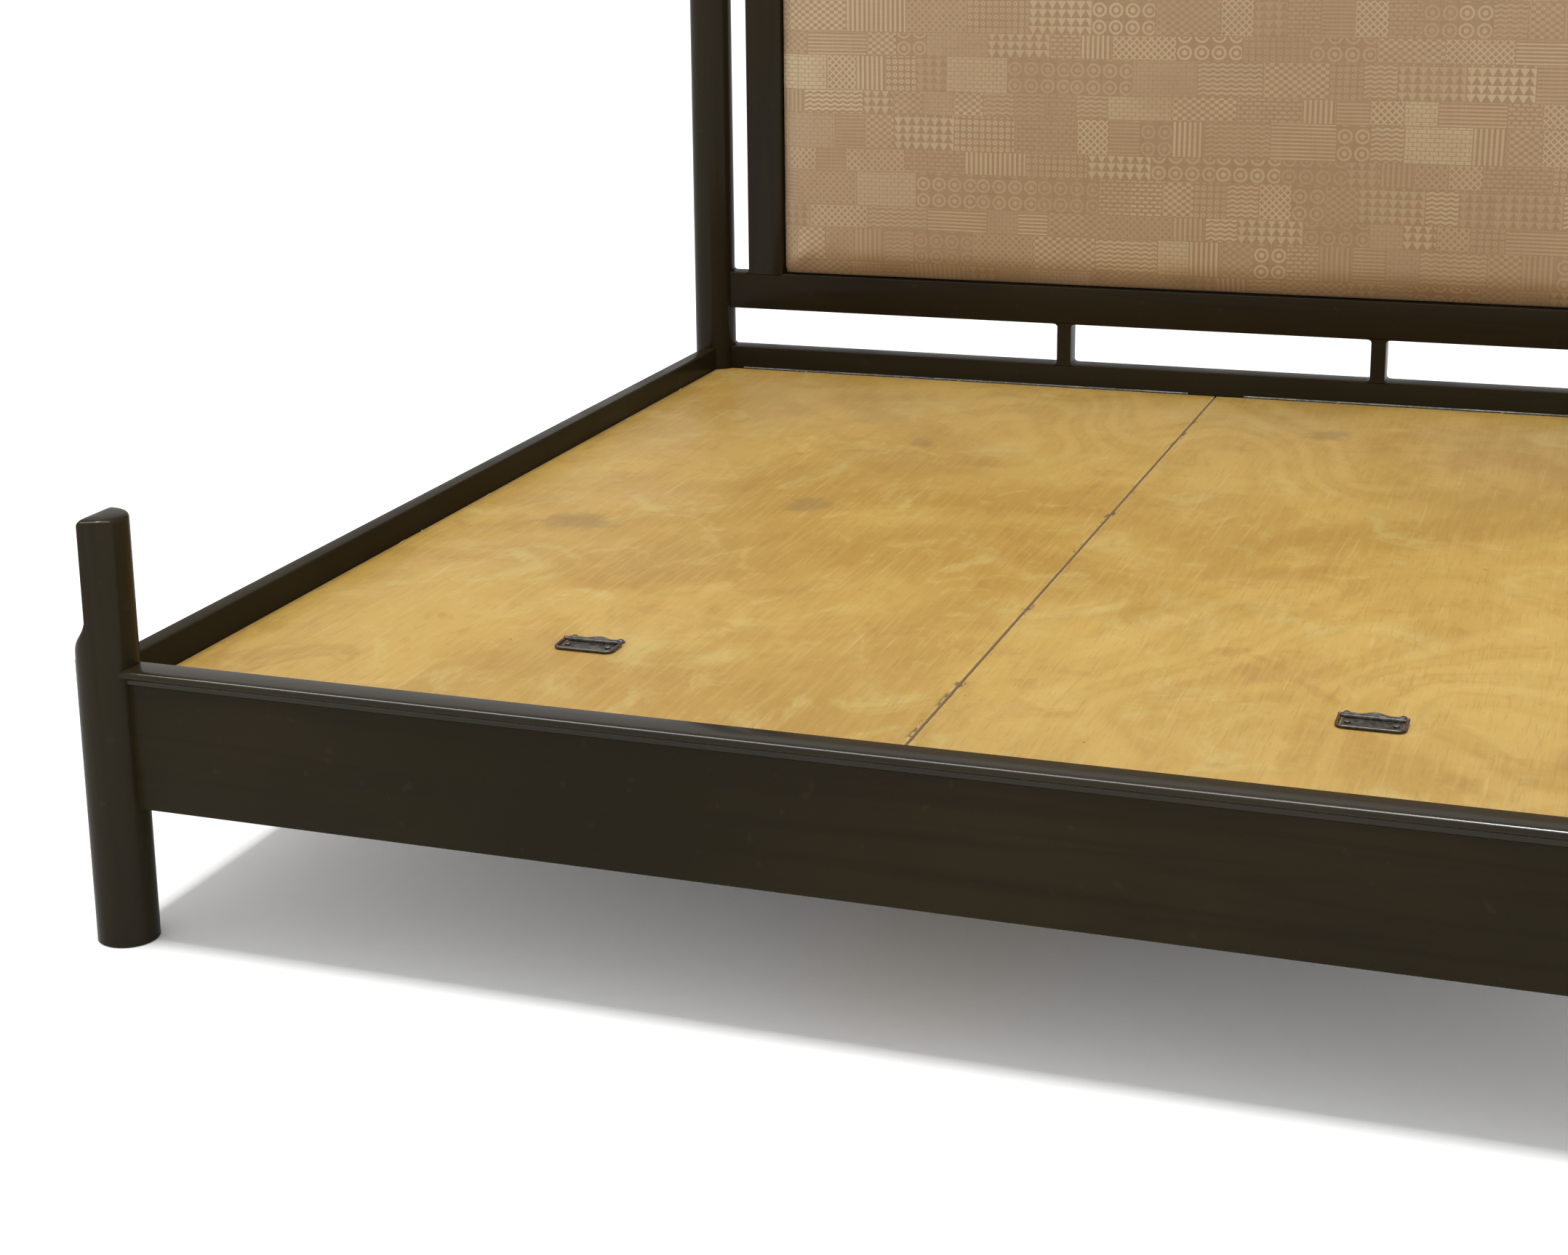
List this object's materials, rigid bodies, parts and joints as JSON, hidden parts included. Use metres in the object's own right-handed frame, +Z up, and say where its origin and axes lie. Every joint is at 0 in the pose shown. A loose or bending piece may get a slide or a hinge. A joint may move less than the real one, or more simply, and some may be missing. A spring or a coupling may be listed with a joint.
{
  "type": "platform bed with storage",
  "caption": "Low platform bed with round posts, an upholstered headboard and lift-up plywood deck panels over shallow storage.",
  "frame": {"origin": "on the floor, at the middle of the bounding box", "axes": "+X to the right seen from the foot, +Y from the foot to the head, +Z up"},
  "size_m": [2.048, 2.1926, 1.345],
  "materials": {
    "dark_lacquer": "satin black-brown lacquer on close-grained wood",
    "birch_plywood": "thin clear coat on flat-cut veneer",
    "pine": "planed, unfinished",
    "back_panel": "thin board, satin black-brown lacquer",
    "woven_fabric": "matt tone-on-tone weave",
    "dark_bronze": "dark bronze, worn satin",
    "zinc_steel": "dull zinc plate"
  },
  "bodies": {
    "frame": {"foot_post_left": "dark_lacquer", "foot_post_right": "dark_lacquer", "head_post_left": "dark_lacquer", "head_post_right": "dark_lacquer", "foot_rail": "dark_lacquer", "foot_rail_cap": "dark_lacquer", "side_rail_left": "dark_lacquer", "side_rail_right": "dark_lacquer", "head_rail": "dark_lacquer", "headboard_mid_rail": "dark_lacquer", "headboard_stile_left": "dark_lacquer", "headboard_stile_right": "dark_lacquer", "headboard_top_rail": "dark_lacquer", "headboard_strut_left": "dark_lacquer", "headboard_strut_right": "dark_lacquer", "headboard_backer": "birch_plywood", "headboard_pad": "woven_fabric", "headboard_back_cover": "back_panel", "side_cleat_left": "pine", "foot_cleat_left": "pine", "head_cleat_left": "pine", "side_cleat_right": "pine", "foot_cleat_right": "pine", "head_cleat_right": "pine", "centre_beam": "pine", "centre_leg_foot": "pine", "centre_leg_head": "pine", "storage_floor_left": "birch_plywood", "floor_ledger_left": "pine", "corner_block_foot_left": "pine", "corner_block_head_left": "pine", "storage_floor_right": "birch_plywood", "floor_ledger_right": "pine", "corner_block_foot_right": "pine", "corner_block_head_right": "pine", "hinge_left_fixed_leaf": "zinc_steel", "hinge_left_pin": "zinc_steel", "hinge_right_fixed_leaf": "zinc_steel", "hinge_right_pin": "zinc_steel"},
    "deck_panel_left": {"lid_left": "birch_plywood", "lid_left_batten_foot": "pine", "lid_left_batten_head": "pine", "hinge_left_moving_leaf": "zinc_steel", "handle_left_plate": "dark_bronze", "handle_left_screw_1": "dark_bronze", "handle_left_screw_2": "dark_bronze", "handle_left_screw_3": "dark_bronze", "handle_left_screw_4": "dark_bronze"},
    "bail_left": {"handle_left_bail": "dark_bronze"},
    "deck_panel_right": {"lid_right": "birch_plywood", "lid_right_batten_foot": "pine", "lid_right_batten_head": "pine", "hinge_right_moving_leaf": "zinc_steel", "handle_right_plate": "dark_bronze", "handle_right_screw_1": "dark_bronze", "handle_right_screw_2": "dark_bronze", "handle_right_screw_3": "dark_bronze", "handle_right_screw_4": "dark_bronze"},
    "bail_right": {"handle_right_bail": "dark_bronze"}
  },
  "joints": [
    {"name": "deck_panel_left_hinge", "type": "hinge", "parent": "frame", "child": "deck_panel_left", "pos_m": [-0.48625, 1.04145, 0.3232], "axis": [-1, 0, 0], "range_deg": [0, 36]},
    {"name": "deck_panel_right_hinge", "type": "hinge", "parent": "frame", "child": "deck_panel_right", "pos_m": [0.48625, 1.04145, 0.3232], "axis": [-1, 0, 0], "range_deg": [0, 36]},
    {"name": "bail_left_hinge", "type": "hinge", "parent": "deck_panel_left", "child": "bail_left", "pos_m": [-0.4965, -0.68675, 0.3257], "axis": [-1, 0, 0], "range_deg": [0, 100]},
    {"name": "bail_right_hinge", "type": "hinge", "parent": "deck_panel_right", "child": "bail_right", "pos_m": [0.4965, -0.68675, 0.3257], "axis": [-1, 0, 0], "range_deg": [0, 100]}
  ]
}
